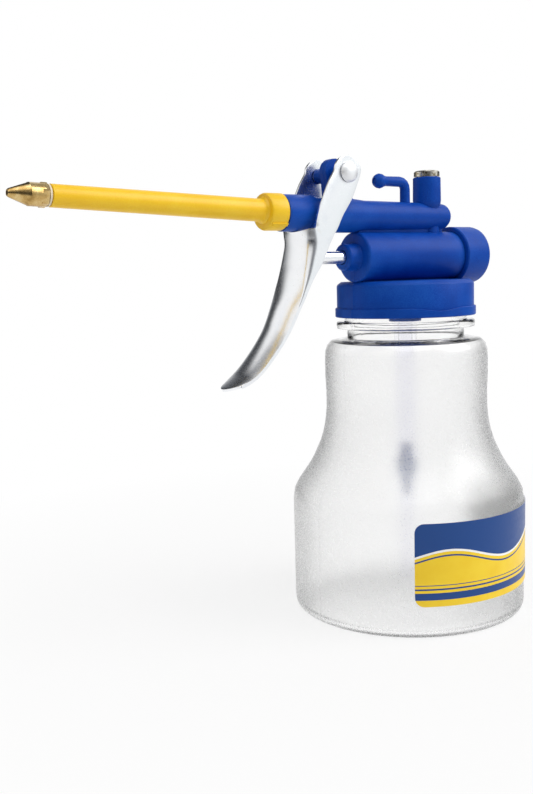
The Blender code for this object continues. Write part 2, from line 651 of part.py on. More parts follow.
def make_spout():
    frame = spout_frame()
    centre = (0, 0, SPOUT_ROOT_Z)
    spout = lathe("spout", [
        (0.0, COLLAR_REAR), (COLLAR_R - 0.0002, COLLAR_REAR), (COLLAR_R, COLLAR_REAR - 0.0002),
        (COLLAR_R, COLLAR_FRONT + 0.0008), (COLLAR_R - 0.0003, COLLAR_FRONT + 0.0002),
        (COLLAR_R - 0.0010, COLLAR_FRONT), (0.0, COLLAR_FRONT)], MEDIUM, "X", (0, 0, TIP_Z))
    pipe = lathe("pipe", [
        (0.0, COLLAR_FRONT + 0.0010), (SPOUT_ROOT_R + 0.0009, COLLAR_FRONT + 0.0006),
        (SPOUT_ROOT_R + 0.0007, COLLAR_FRONT - 0.0002), (SPOUT_ROOT_R, COLLAR_FRONT - 0.0010),
        (SPOUT_END_R, SPOUT_END + 0.0002), (SPOUT_END_R - 0.0002, SPOUT_END),
        (0.0, SPOUT_END)], MEDIUM, "X", centre, 0.04)
    pipe.data.transform(frame)
    rib = box("rib", (COLLAR_REAR - 0.0066, -0.0006, -COLLAR_R - 0.0004),
              (COLLAR_REAR - 0.0001, 0.0006, -COLLAR_R + 0.0009))
    rib.data.transform(Matrix.Translation((0, 0, TIP_Z)) @ Matrix.Rotation(math.radians(-46.0), 4, "X"))
    combine(spout, [pipe, rib], "UNION")
    socket = rod_along("socket", TIP_R + FIT, TIP_FRONT - 0.0014, COLLAR_REAR + 0.01, MEDIUM, "X",
                       (0, 0, TIP_Z), 0.03)
    flow = lathe("flow", [
        (0.0, TIP_FRONT), (FLOW_R, TIP_FRONT), (FLOW_R, SPOUT_END + 0.0062),
        (NOZZLE_R - 0.0008, SPOUT_END + 0.0062), (NOZZLE_R - 0.0008, SPOUT_END - 0.01),
        (0.0, SPOUT_END - 0.01)], SMALL + 2, "X", centre, 0.07)
    flow.data.transform(frame)
    combine(spout, [socket, flow], "DIFFERENCE")
    finish(spout, YELLOW)
    ring = lathe("spout_ring", [
        (FLOW_R + 0.0006, TIP_FRONT - FIT), (TIP_R - 0.0002, TIP_FRONT - FIT),
        (TIP_R - 0.0002, TIP_FRONT - 0.0011), (FLOW_R + 0.0006, TIP_FRONT - 0.0011)],
        SMALL + 4, "X", (0, 0, TIP_Z))
    finish(ring, RUBBER)


def make_nozzle():
    frame = spout_frame()
    centre = (0, 0, SPOUT_ROOT_Z)
    face = SPOUT_END - FIT
    washer = lathe("nozzle_washer", [
        (NOZZLE_R - 0.0008, face), (SPOUT_END_R - 0.0001, face),
        (SPOUT_END_R - 0.0001, face - WASHER_T), (NOZZLE_R - 0.0008, face - WASHER_T)],
        SMALL + 4, "X", centre)
    washer.data.transform(frame)
    finish(washer, WASHER)
    start = face - WASHER_T - FIT
    nozzle = rod_along("nozzle", HEX_R, start, start - HEX_L, 6, "X", centre, HEX_TURN)
    trim = lathe("trim", [
        (0.0, start + 0.0004), (HEX_R - 0.0005, start + 0.0004), (HEX_R + 0.0003, start - 0.0003),
        (HEX_R + 0.0003, start - HEX_L + 0.0004), (HEX_R - 0.0006, start - HEX_L - 0.0004),
        (0.0, start - HEX_L - 0.0004)], MEDIUM, "X", centre, 0.03)
    combine(nozzle, [trim], "INTERSECT")
    shank = NOZZLE_R - 0.0011
    turned = lathe("turned", [
        (0.0, SPOUT_END + 0.0055), (shank - 0.0003, SPOUT_END + 0.0055),
        (shank, SPOUT_END + 0.0050), (shank, start - 0.5 * HEX_L),
        (NOZZLE_R, start - 0.5 * HEX_L), (NOZZLE_R, start - NOZZLE_L + 0.0064),
        (NOZZLE_R - 0.0003, start - NOZZLE_L + 0.0059),
        (NOZZLE_TIP_R + 0.0002, start - NOZZLE_L + 0.0004),
        (NOZZLE_TIP_R - 0.0001, start - NOZZLE_L), (0.0, start - NOZZLE_L)],
        SMALL + 4, "X", centre, 0.05)
    orifice = rod_along("orifice", 0.0007, start - 0.02, SPOUT_END + 0.01, 12, "X", centre)
    combine(nozzle, [turned], "UNION")
    combine(nozzle, [orifice], "DIFFERENCE")
    nozzle.data.transform(frame)
    return finish(nozzle, BRASS, smooth=25.0)


def lever_rows():
    """The lever seen from the side, from the ears down. Each row holds its front corner and
    rear edge as (x, z), the bulge of the web, the rounding of its corners and a share of the
    full width."""
    rows = []
    for turn in (80.0, 55.0, 30.0, 6.0):
        c, s = EAR_R * math.cos(math.radians(turn)), EAR_R * math.sin(math.radians(turn))
        rows.append(((PIVOT_X - c, PIVOT_Z + s), (PIVOT_X + c, PIVOT_Z + s), 0.0, 0.0, 1.0))
    ears = [(-0.0086, -0.0034, 0.0046, -0.0031), (-0.0114, -0.0091, 0.0017, -0.0091),
            (-0.0139, -0.0146, -0.0026, -0.0150)]
    for fx, fz, rx, rz in ears:
        rows.append(((PIVOT_X + fx, PIVOT_Z + fz), (PIVOT_X + rx, PIVOT_Z + rz), 0.0, 0.0, 1.0))
    web = [(-0.0166, -0.0196, 0.0114, 0.0001, 0.0015, 1.0),
           (-0.0166, -0.0220, 0.0098, 0.0002, 0.0021, 1.0),
           (-0.0165, -0.0252, 0.0072, 0.0004, 0.0024, 1.0),
           (-0.0178, -0.0311, 0.0053, 0.0009, 0.0020, 1.0),
           (-0.0189, -0.0356, 0.0032, 0.0014, 0.0015, 1.0),
           (-0.0202, -0.0401, 0.0019, 0.0019, 0.0006, 0.99),
           (-0.0216, -0.0439, 0.0014, 0.0023, 0.0002, 0.97),
           (-0.0234, -0.0478, 0.0012, 0.0026, 0.0, 0.93),
           (-0.0252, -0.0514, 0.0012, 0.0026, 0.0, 0.89),
           (-0.0272, -0.0549, 0.0012, 0.0025, 0.0, 0.86),
           (-0.0295, -0.0581, 0.0012, 0.0024, 0.0, 0.84),
           (-0.0321, -0.0613, 0.0012, 0.0022, 0.0, 0.83),
           (-0.0350, -0.0645, 0.0012, 0.0020, 0.0, 0.82),
           (-0.0378, -0.0673, 0.0012, 0.0018, 0.0, 0.81),
           (-0.0406, -0.0696, 0.0012, 0.0015, 0.0, 0.78),
           (-0.0433, -0.0713, 0.0012, 0.0012, 0.0, 0.72),
           (-0.0460, -0.0727, 0.0012, 0.0008, 0.0, 0.60)]
    count = len(web)
    for k, (fx, fz, depth, bulge, soft, share) in enumerate(web):
        a, b = web[max(k - 1, 0)], web[min(k + 1, count - 1)]
        dx, dz = b[0] - a[0], b[1] - a[1]
        run = math.hypot(dx, dz)
        nx, nz = dz / run, -dx / run
        front = (PIVOT_X + fx, PIVOT_Z + fz)
        rear = (front[0] - nx * depth, front[1] - nz * depth)
        rows.append((front, rear, bulge, soft, share))
    return rows, len(rows) - count


def make_lever():
    rows, first_web = lever_rows()
    across = [-1.0, -0.97, -0.90, -0.76, -0.40, 0.0, 0.40, 0.76, 0.90, 0.97, 1.0]
    last = len(rows) - 1
    outer, inner = [], []
    for i, (front, rear, bulge, soft, share) in enumerate(rows):
        back = Vector((rear[0] - front[0], 0.0, rear[1] - front[1]))
        back.normalize()
        a, b = rows[max(i - 1, 0)][0], rows[min(i + 1, last)][0]
        along = Vector((b[0] - a[0], 0.0, b[1] - a[1]))
        along.normalize()
        at = Vector((front[0], 0.0, front[1]))
        end = Vector((rear[0], 0.0, rear[1]))
        half, half_in = LEVER_HALF * share, LEVER_HALF * share - LEVER_T
        line_out = [end + Vector((0, -half, 0))]
        line_in = [end + Vector((0, -half_in, 0))]
        thick = LEVER_T if i >= first_web else 0.0
        for u in across:
            start = 1.0 - soft / LEVER_HALF * 1.15
            swell = bulge * (1.0 - abs(u) ** 2.3)
            if soft > 0.0 and abs(u) > start:
                swell -= soft * (1.0 - math.sqrt(1.0 - ((abs(u) - start) / (1.0 - start)) ** 2))
            push = Vector((0.0, 0.0, 0.0))
            if i == first_web:
                push = along * 0.0012 * math.cos(0.5 * math.pi * u) ** 1.2
            if i == last:
                push = along * 0.0042 * (1.0 - abs(u) ** 2.0)
            line_out.append(at - back * swell + push + Vector((0, u * half, 0)))
            line_in.append(at - back * (swell - thick) + push + Vector((0, u * half_in, 0)))
        line_out.append(end + Vector((0, half, 0)))
        line_in.append(end + Vector((0, half_in, 0)))
        outer.append(line_out)
        inner.append(line_in)
    wide = len(across) + 2
    there = {(i, j) for i in range(last) for j in range(wide - 1)
             if j in (0, wide - 2) or i >= first_web}
    verts, index = [], {}

    def vertex(layer, i, j):
        key = (layer, i, j)
        if key not in index:
            index[key] = len(verts)
            verts.append((outer if layer == 0 else inner)[i][j])
        return index[key]

    faces = []
    for i, j in sorted(there):
        faces.append(tuple(vertex(0, a, b) for a, b in
                           ((i, j), (i + 1, j), (i + 1, j + 1), (i, j + 1))))
        faces.append(tuple(vertex(1, a, b) for a, b in
                           ((i, j), (i, j + 1), (i + 1, j + 1), (i + 1, j))))
        sides = (((i - 1, j), (i, j), (i, j + 1)), ((i + 1, j), (i + 1, j), (i + 1, j + 1)),
                 ((i, j - 1), (i, j), (i + 1, j)), ((i, j + 1), (i, j + 1), (i + 1, j + 1)))
        for beside, (a, b), (c, d) in sides:
            if beside not in there:
                faces.append((vertex(0, a, b), vertex(0, c, d), vertex(1, c, d), vertex(1, a, b)))
    lever = solid("lever", verts, faces)
    hole = rod_along("hole", PIN_R + FIT, -2 * LEVER_HALF, 2 * LEVER_HALF, SMALL, "Y",
                     (PIVOT_X, 0, PIVOT_Z), 0.03)
    combine(lever, [hole], "DIFFERENCE")
    return finish(lever, PLATED, (PIVOT_X, 0, PIVOT_Z), smooth=40.0)


def make_pin():
    face = LEVER_HALF + FIT
    head = [(PIN_HEAD_R * r, face + PIN_HEAD_T * y) for r, y in
            ((1.0, 0.0), (1.0, 0.26), (0.92, 0.53), (0.70, 0.79), (0.38, 0.95), (0.0, 1.0))]
    profile = [(r, -y) for r, y in reversed(head)] + [(PIN_R, -face), (PIN_R, face)] + head
    pin = lathe("lever_pin", profile, SMALL + 4, "Y", (PIVOT_X, 0, PIVOT_Z))
    return finish(pin, PLATED, (PIVOT_X, 0, PIVOT_Z))


def make_suction():
    gasket = lathe("cap_gasket", [
        (MOUTH_BORE - 0.0004, MOUTH_Z + FIT), (CAP_BORE - 0.0004, MOUTH_Z + FIT),
        (CAP_BORE - 0.0004, CAP_TOP - CAP_PLATE - FIT),
        (MOUTH_BORE - 0.0004, CAP_TOP - CAP_PLATE - FIT)], FINE)
    finish(gasket, RUBBER)
    tube = lathe("suction_tube", [
        (SUCTION_BORE, SUCTION_BOTTOM), (SUCTION_R - 0.0006, SUCTION_BOTTOM),
        (SUCTION_R, SUCTION_BOTTOM + 0.0030), (SUCTION_R, SUCTION_TOP),
        (SUCTION_BORE, SUCTION_TOP)], SMALL + 4)
    finish(tube, TUBE)
    top = SUCTION_BOTTOM - FIT
    seat = top - 0.0042
    foot = lathe("foot_valve", [
        (INLET_BALL_R * 0.6, top - FOOT_L), (0.0014, top - FOOT_L),
        (0.0017, top - 0.96 * FOOT_L), (0.0017, top - 0.56 * FOOT_L),
        (0.0029, top - 0.50 * FOOT_L), (0.0040, top - 0.17 * FOOT_L),
        (0.0040, top), (SUCTION_BORE - FIT, top), (SUCTION_BORE - FIT, top + 0.0060),
        (0.0011, top + 0.0060), (0.0011, top), (0.0021, top), (0.0021, seat + 0.0006),
        (INLET_BALL_R * 0.6, seat)], SMALL + 4)
    slots = box("slots", (-0.0018, -0.00045, top - 0.0004), (0.0018, 0.00045, top + 0.0012))
    combine(foot, [slots], "DIFFERENCE")
    finish(foot, DARK_BLUE)
    reach = math.sqrt(INLET_BALL_R ** 2 - (0.6 * INLET_BALL_R) ** 2)
    ball("inlet_ball", INLET_BALL_R, (0.0, 0.0, seat + FIT + reach), STEEL)
    hose_top = top - 0.56 * FOOT_L - FIT
    hose = lathe("suction_hose", [
        (HOSE_BORE, HOSE_BOTTOM), (HOSE_R, HOSE_BOTTOM + 0.0006), (HOSE_R, hose_top),
        (HOSE_BORE, hose_top)], SMALL)
    finish(hose, TUBE)


make_bottle()
make_label()
make_head()
make_end_cap()
make_plunger()
make_valve()
make_spout()
make_nozzle()
make_lever()
make_pin()
make_suction()
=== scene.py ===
"""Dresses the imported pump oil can: finishes, smooth surfaces, small moulded details, light and
camera. Lengths are metres. The spout points along -X, and the camera looks from its side."""

import json
import math

import bmesh
import bpy
from mathutils import Matrix, Vector

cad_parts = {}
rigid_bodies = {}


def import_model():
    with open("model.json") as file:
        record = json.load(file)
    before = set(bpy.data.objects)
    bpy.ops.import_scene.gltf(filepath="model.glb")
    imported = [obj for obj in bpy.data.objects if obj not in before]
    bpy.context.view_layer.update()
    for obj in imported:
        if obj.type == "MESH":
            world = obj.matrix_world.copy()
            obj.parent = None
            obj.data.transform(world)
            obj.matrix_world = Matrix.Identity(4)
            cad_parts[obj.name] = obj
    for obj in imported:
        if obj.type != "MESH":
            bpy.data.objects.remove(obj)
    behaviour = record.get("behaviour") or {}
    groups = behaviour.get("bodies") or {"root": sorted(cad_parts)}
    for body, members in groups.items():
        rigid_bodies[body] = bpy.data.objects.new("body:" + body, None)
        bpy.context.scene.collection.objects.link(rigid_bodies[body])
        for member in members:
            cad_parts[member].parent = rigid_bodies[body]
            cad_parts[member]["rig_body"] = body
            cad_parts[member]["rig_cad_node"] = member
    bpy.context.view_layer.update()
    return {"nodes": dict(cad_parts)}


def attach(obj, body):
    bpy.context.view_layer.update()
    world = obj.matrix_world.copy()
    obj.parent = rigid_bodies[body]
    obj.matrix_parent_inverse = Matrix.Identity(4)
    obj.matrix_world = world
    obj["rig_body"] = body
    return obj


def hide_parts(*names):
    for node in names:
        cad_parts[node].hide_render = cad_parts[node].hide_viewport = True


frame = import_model()

MM = 0.001
WELD = 0.002 * MM       # points nearer than this are one
scene = bpy.context.scene
scene.view_settings.view_transform = "Standard"

# Camera, at the photograph's viewing angle. The frame is 533 x 794 pixels.
CAMERA_AT = Vector((-0.26846, -0.28767, 0.13195))
CAMERA_TURN = math.radians(-35.03)
CAMERA_DOWN = math.radians(7.06)
CAMERA_ROLL = math.radians(-1.63)
CAMERA_LENS = 1001.0 / 794.0 * 36.0

# Bottle, as in the CAD
BODY_R = 45.0 * MM
BODY_TOP = 43.2 * MM
WAIST_R = 31.1 * MM
WAIST_Z = 84.9 * MM
UPPER_R = 31.4 * MM
SHOULDER_Z = 105.8 * MM
NECK_R = 22.5 * MM
RING_R = 26.6 * MM
RING_Z = 109.7 * MM
RING_TOP = 112.4 * MM
MOUTH_R = 23.6 * MM
MOUTH_BORE = 21.0 * MM
MOUTH_Z = 123.2 * MM
WALL = 1.1 * MM
BOTTLE_STEPS = 144
BOTTLE_SEAM = 0.05 * MM
BOTTLE_SEAM_HALF = 0.3 * MM

# Screw threads: on the bottle's mouth, and inside the cap half a pitch further on
CAP_BORE = 25.0 * MM
THREAD_PITCH = 4.0 * MM
THREAD_PROUD = 0.9 * MM
THREAD_FROM = 115.0 * MM
THREAD_TURNS = 1.25
THREAD_STEPS = 72
THREAD_FADE = 6         # steps over which each end of a thread rises
THREAD_ROOT = 0.15 * MM     # how far its foot is sunk into the wall
THREAD_FOOT = (-0.95 * MM, 0.85 * MM)       # its foot's edges, from the height it starts at
THREAD_CREST = (-0.35 * MM, 0.10 * MM)      # its crest's edges

# Witness line of the mould's two halves, on the plane Y = 0
PART_LINE_HALF = 0.14 * MM
PART_LINE_PROUD = 0.045 * MM

# Lever, as in the CAD: the pivot, half the width over the ears, the sheet, the ears' round
PIVOT = Vector((-35.0 * MM, 0.0, 166.7 * MM))
LEVER_HALF = 9.1 * MM
LEVER_T = 1.0 * MM
EAR_R = 6.0 * MM
PIN_HOLE_R = 2.05 * MM
LEVER_FINE = 4          # steps between two rows of the lever
EAR_STEPS = 4           # steps from an ear's rear edge to its corner
WEB_STEPS = 28          # steps across the web

# Label, as in the CAD
LABEL_R = 45.5 * MM
LABEL_FROM = math.radians(-130.0)
LABEL_LOW = 12.3 * MM
LABEL_HIGH = 42.6 * MM
LABEL_WAVE = 52 * MM        # length of a wave of the blue field's lower edge
LABEL_SWING = 2.6 * MM
LABEL_FIELD = 12.1 * MM     # height of the blue field
LABEL_DISC = 70 * MM        # from the label's left end to the disc's middle


def linear(code):
    """An sRGB hex colour as linear red, green, blue and alpha."""
    parts = [int(code[i:i + 2], 16) / 255.0 for i in (0, 2, 4)]
    return tuple(p / 12.92 if p <= 0.04045 else ((p + 0.055) / 1.055) ** 2.4
                 for p in parts) + (1.0,)


def add(tree, kind, inputs=None, stops=(), **settings):
    """Adds a node and sets it up. An input is a value, a socket, or a node for its first
    output. The stops are a colour ramp's places and hex colours."""
    made = tree.nodes.new("ShaderNode" + kind)
    for name, value in settings.items():
        setattr(made, name, value)
    for socket, value in (inputs or {}).items():
        if isinstance(value, bpy.types.Node):
            value = value.outputs[0]
        if isinstance(value, bpy.types.NodeSocket):
            tree.links.new(value, made.inputs[socket])
        else:
            made.inputs[socket].default_value = value
    for _ in stops[2:]:
        made.color_ramp.elements.new(0.5)
    for k, (place, code) in enumerate(stops):
        made.color_ramp.elements[k].position = place
        made.color_ramp.elements[k].color = linear(code)
    return made


def new_material(name):
    """An empty node material, its tree, and its Object coordinates."""
    made = bpy.data.materials.new(name)
    made.use_nodes = True
    tree = made.node_tree
    tree.nodes.clear()
    return made, tree, add(tree, "TexCoord").outputs["Object"]


def satin_plastic(name, low, mid, high, rough, gloss, grain, depth):
    """Polypropylene or nylon, injection moulded in a spark-eroded mould: a satin skin with a
    fine sparkle, and cloudy pigment. The real grain is 0.15 mm wide, drawn coarser to show."""
    made, tree, place = new_material(name)
    cloud = add(tree, "TexNoise", {"Vector": place, "Scale": 1 / (14 * MM), "Detail": 3.0})
    speck = add(tree, "TexNoise", {"Vector": place, "Scale": 1 / grain, "Detail": 3.0,
                                   "Roughness": 0.65})
    both = add(tree, "Mix", {0: 0.45, 2: cloud, 3: speck}, data_type="FLOAT")
    colour = add(tree, "ValToRGB", {"Fac": both}, stops=[(0.40, low), (0.50, mid), (0.60, high)])
    matt = add(tree, "MapRange", {"Value": speck, "From Min": 0.3, "From Max": 0.7,
                                  "To Min": rough - 0.07, "To Max": rough + 0.09})
    relief = add(tree, "Bump", {"Height": speck, "Distance": depth})
    shader = add(tree, "BsdfPrincipled", {"Base Color": colour, "Roughness": matt, "IOR": 1.49,
                                          "Specular IOR Level": gloss, "Normal": relief})
    add(tree, "OutputMaterial", {"Surface": shader})
    return made


def turned_brass():
    """Free-cutting brass, turned from bar: rings left by the tool along the spout's line, and
    a patchy brown tarnish that dulls it. The rings are drawn three times as wide, to show."""
    made, tree, place = new_material("turned_brass")
    along = add(tree, "Mapping", {"Vector": place, "Rotation": (0.0, math.radians(-2.5), 0.0)})
    rings = add(tree, "TexWave", {"Vector": along, "Scale": 0.314 / (0.36 * MM),
                                  "Distortion": 0.6, "Detail": 2.0}, bands_direction="X")
    cloud = add(tree, "TexNoise", {"Vector": place, "Scale": 1 / (3.5 * MM), "Detail": 4.0,
                                   "Roughness": 0.6})
    colour = add(tree, "ValToRGB", {"Fac": cloud},
                 stops=[(0.34, "A3834C"), (0.50, "C4A468"), (0.66, "D8C08C")])
    matt = add(tree, "MapRange", {"Value": cloud, "From Min": 0.3, "From Max": 0.7,
                                  "To Min": 0.30, "To Max": 0.17})
    relief = add(tree, "Bump", {"Height": rings, "Distance": 0.014 * MM, "Strength": 0.8})
    shader = add(tree, "BsdfPrincipled", {"Base Color": colour, "Roughness": matt,
                                          "Metallic": 1.0, "Normal": relief})
    add(tree, "OutputMaterial", {"Surface": shader})
    return made


def plated_steel(name, smooth, rough, metal):
    """Cold-rolled steel, pressed and zinc plated: a cool mirror, blurred by a fine orange
    peel, and warm where the plating is thick. Less metal gives the duller bloom of a barrel."""
    made, tree, place = new_material(name)
    cloud = add(tree, "TexNoise", {"Vector": place, "Scale": 1 / (9 * MM), "Detail": 3.0})
    peel = add(tree, "TexNoise", {"Vector": place, "Scale": 1 / (0.6 * MM), "Detail": 2.0,
                                  "Roughness": 0.6})
    tint = add(tree, "ValToRGB", {"Fac": cloud},
               stops=[(0.30, "EEF0F4"), (0.50, "F6F7F9"), (0.66, "F4F6F8"), (0.80, "F1EDE6")])
    matt = add(tree, "MapRange", {"Value": peel, "From Min": 0.3, "From Max": 0.7,
                                  "To Min": smooth, "To Max": rough})
    relief = add(tree, "Bump", {"Height": peel, "Distance": 0.008 * MM, "Strength": 0.6})
    shader = add(tree, "BsdfPrincipled", {"Base Color": tint, "Roughness": matt,
                                          "Metallic": metal, "Normal": relief})
    add(tree, "OutputMaterial", {"Surface": shader})
    return made


def nickel_plug():
    """Brass screw plug, barrel plated with nickel: a grey mirror that the brass warms where
    the plating is worn."""
    made, tree, place = new_material("worn_nickel_plate")
    cloud = add(tree, "TexNoise", {"Vector": place, "Scale": 1 / (1.8 * MM), "Detail": 3.0,
                                   "Roughness": 0.6})
    colour = add(tree, "ValToRGB", {"Fac": cloud}, stops=[
        (0.36, "8C8069"), (0.46, "CBC5B7"), (0.56, "DEDAD0"), (0.68, "BFA46F")])
    matt = add(tree, "MapRange", {"Value": cloud, "From Min": 0.3, "From Max": 0.7,
                                  "To Min": 0.16, "To Max": 0.30})
    relief = add(tree, "Bump", {"Height": cloud, "Distance": 0.04 * MM, "Strength": 0.5})
    shader = add(tree, "BsdfPrincipled", {"Base Color": colour, "Roughness": matt,
                                          "Metallic": 1.0, "Normal": relief})
    add(tree, "OutputMaterial", {"Surface": shader})
    return made


def bottle_plastic():
    """Natural polythene, blow moulded: glassy at the neck, where the mould was polished, and
    finely frosted below the shoulder, so that the body glows and blurs what is inside."""
    made, tree, place = new_material("blow_moulded_frosted_plastic")
    height = add(tree, "SeparateXYZ", {"Vector": place}).outputs["Z"]
    frost = add(tree, "MapRange", {"Value": height, "From Min": 106 * MM, "From Max": 100 * MM,
                                   "To Min": 0.0, "To Max": 0.22})
    peel = add(tree, "TexNoise", {"Vector": place, "Scale": 1 / (0.6 * MM), "Detail": 2.0,
                                  "Roughness": 0.55})
    waves = add(tree, "TexNoise", {"Vector": place, "Scale": 1 / (11 * MM), "Detail": 2.0})
    gleam = add(tree, "MapRange", {"Value": peel, "From Min": 0.3, "From Max": 0.7,
                                   "To Min": 0.03, "To Max": 0.09})
    matt = add(tree, "Math", {0: frost, 1: gleam}, operation="ADD")
    fine = add(tree, "Bump", {"Height": peel, "Distance": 0.012 * MM, "Strength": 0.6})
    relief = add(tree, "Bump", {"Height": waves, "Distance": 0.5 * MM, "Strength": 0.25,
                                "Normal": fine})
    shader = add(tree, "BsdfPrincipled", {
        "Base Color": linear("FFFFFF"), "Roughness": matt, "IOR": 1.45,
        "Transmission Weight": 1.0, "Normal": relief})
    add(tree, "OutputMaterial", {"Surface": shader})
    return made


def clear_tube():
    """Natural polythene, extruded: cloudy and bluish, so that it shows as a pale shadow."""
    made, tree, place = new_material("natural_polythene")
    cloud = add(tree, "TexNoise", {"Vector": place, "Scale": 1 / (6 * MM), "Detail": 2.0})
    colour = add(tree, "ValToRGB", {"Fac": cloud}, stops=[(0.3, "F7F7FB"), (0.7, "FBFBFD")])
    matt = add(tree, "MapRange", {"Value": cloud, "From Min": 0.3, "From Max": 0.7,
                                  "To Min": 0.16, "To Max": 0.24})
    relief = add(tree, "Bump", {"Height": cloud, "Distance": 0.1 * MM, "Strength": 0.2})
    shader = add(tree, "BsdfPrincipled", {"Base Color": colour, "Roughness": matt, "IOR": 1.04,
                                          "Transmission Weight": 1.0, "Normal": relief})
    add(tree, "OutputMaterial", {"Surface": shader})
    return made


def soft_rubber():
    """Nitrile rubber, compression moulded: near black and matt, with a bloom of dust."""
    made, tree, place = new_material("nitrile_rubber")
    dust = add(tree, "TexNoise", {"Vector": place, "Scale": 1 / (0.8 * MM), "Detail": 4.0,
                                  "Roughness": 0.7})
    colour = add(tree, "ValToRGB", {"Fac": dust}, stops=[(0.4, "17181A"), (0.7, "2E2F31")])
    matt = add(tree, "MapRange", {"Value": dust, "From Min": 0.3, "From Max": 0.7,
                                  "To Min": 0.62, "To Max": 0.80})
    relief = add(tree, "Bump", {"Height": dust, "Distance": 0.03 * MM, "Strength": 0.5})
    shader = add(tree, "BsdfPrincipled", {"Base Color": colour, "Roughness": matt, "IOR": 1.52,
                                          "Normal": relief})
    add(tree, "OutputMaterial", {"Surface": shader})
    return made


def spring_steel():
    """Stainless wire, drawn: dull bright, and scuffed in short marks by the die."""
    made, tree, place = new_material("stainless_spring_wire")
    marks = add(tree, "TexNoise", {"Vector": place, "Scale": 1 / (0.3 * MM), "Detail": 3.0})
    colour = add(tree, "ValToRGB", {"Fac": marks}, stops=[(0.3, "A6A9AD"), (0.7, "C6C9CC")])
    matt = add(tree, "MapRange", {"Value": marks, "From Min": 0.3, "From Max": 0.7,
                                  "To Min": 0.24, "To Max": 0.38})
    shader = add(tree, "BsdfPrincipled", {"Base Color": colour, "Roughness": matt,
                                          "Metallic": 1.0})
    add(tree, "OutputMaterial", {"Surface": shader})
    return made


def printed_label():
    """Polypropylene film, printed and lacquered: a yellow ground under a blue field with a
    waved edge, plain rules and a disc. Its back is white, as seen through the bottle."""
    made, tree, place = new_material("printed_film_label")
    axes = add(tree, "SeparateXYZ", {"Vector": place})
    angle = add(tree, "Math", {0: axes.outputs["Y"], 1: axes.outputs["X"]}, operation="ARCTAN2")
    along = add(tree, "Math", {0: angle, 1: LABEL_R, 2: -LABEL_FROM * LABEL_R},
                operation="MULTIPLY_ADD")
    swing = add(tree, "Math", {0: along, 1: 2 * math.pi / LABEL_WAVE}, operation="MULTIPLY")
    wave = add(tree, "Math", {0: swing}, operation="SINE")
    height = axes.outputs["Z"]
    level = add(tree, "Math", {0: wave, 1: -LABEL_SWING, 2: height}, operation="MULTIPLY_ADD")
    spot = add(tree, "CombineXYZ", {"X": along, "Y": height})
    from_disc = add(tree, "VectorMath", {0: spot, 1: (LABEL_DISC, LABEL_LOW + 14 * MM, 0.0)},
                    operation="DISTANCE").outputs["Value"]
    flat = add(tree, "VectorMath", {0: place, 1: (1.0, 1.0, 0.0)}, operation="MULTIPLY")
    from_axis = add(tree, "VectorMath", {0: flat}, operation="LENGTH").outputs["Value"]
    yellow, blue, white = "FBD228", "15468B", "FDFDFB"
    cloud = add(tree, "TexNoise", {"Vector": place, "Scale": 1 / (7 * MM), "Detail": 2.0})
    colour = add(tree, "ValToRGB", {"Fac": cloud}, stops=[(0.3, yellow), (0.7, "FFDA33")])
    top = LABEL_HIGH - LABEL_FIELD
    rows = LABEL_LOW
    for value, low, high, ink in (
            (level, top - 0.8 * MM, top, white), (level, top, LABEL_HIGH + 9 * MM, blue),
            (level, top - 2.5 * MM, top - 1.9 * MM, blue),
            (height, rows + 2.4 * MM, rows + 5.0 * MM, blue),
            (height, rows + 6.0 * MM, rows + 6.6 * MM, blue),
            (height, rows + 7.6 * MM, rows + 7.9 * MM, blue),
            (from_disc, -1.0, 8.8 * MM, white), (from_disc, -1.0, 7.9 * MM, blue),
            (from_disc, -1.0, 5.4 * MM, yellow), (from_disc, -1.0, 4.6 * MM, blue),
            (from_axis, 0.0, LABEL_R - 0.12 * MM, white)):
        inside = add(tree, "Math", {0: value, 1: 0.5 * (low + high), 2: 0.5 * (high - low)},
                     operation="COMPARE")
        colour = add(tree, "Mix", {0: inside, 6: colour, 7: linear(ink)},
                     data_type="RGBA").outputs[2]
    lacquer = add(tree, "TexNoise", {"Vector": place, "Scale": 1 / (1.5 * MM), "Detail": 2.0})
    matt = add(tree, "MapRange", {"Value": lacquer, "From Min": 0.3, "From Max": 0.7,
                                  "To Min": 0.30, "To Max": 0.40})
    relief = add(tree, "Bump", {"Height": lacquer, "Distance": 0.02 * MM, "Strength": 0.4})
    shader = add(tree, "BsdfPrincipled", {"Base Color": colour, "Roughness": matt, "IOR": 1.5,
                                          "Specular IOR Level": 0.35, "Normal": relief})
    add(tree, "OutputMaterial", {"Surface": shader})
    return made


BLUE = satin_plastic("satin_blue_polypropylene", "023E9C", "0646A8", "1250B0", 0.42, 0.15,
                     0.42 * MM, 0.035 * MM)
GREY_BLUE = satin_plastic("grey_blue_polypropylene", "A9AFC6", "B4BACF", "BEC4D8", 0.45, 0.4,
                          0.5 * MM, 0.02 * MM)
YELLOW = satin_plastic("satin_yellow_polypropylene", "F8C412", "FBCB1B", "FDD22B", 0.38, 0.45,
                       0.5 * MM, 0.016 * MM)
WHITE = satin_plastic("white_nylon", "E3D2B0", "EADBBE", "F1E6CF", 0.4, 0.4, 0.5 * MM, 0.01 * MM)
BRASS = turned_brass()
BRIGHT = plated_steel("bright_zinc_plated_steel", 0.22, 0.28, 1.0)
DULL = plated_steel("barrelled_zinc_plated_steel", 0.38, 0.50, 0.45)
NICKEL = nickel_plug()
FROSTED = bottle_plastic()
TUBING = clear_tube()
RUBBER = soft_rubber()
WIRE = spring_steel()
LABEL = printed_label()


def settle():
    """Object mode, with nothing selected."""
    if bpy.context.mode != "OBJECT":
        bpy.ops.object.mode_set(mode="OBJECT")
    bpy.ops.object.select_all(action="DESELECT")


def take(piece):
    """Makes this piece alone selected and active, in object mode."""
    settle()
    piece.select_set(True)
    bpy.context.view_layer.objects.active = piece


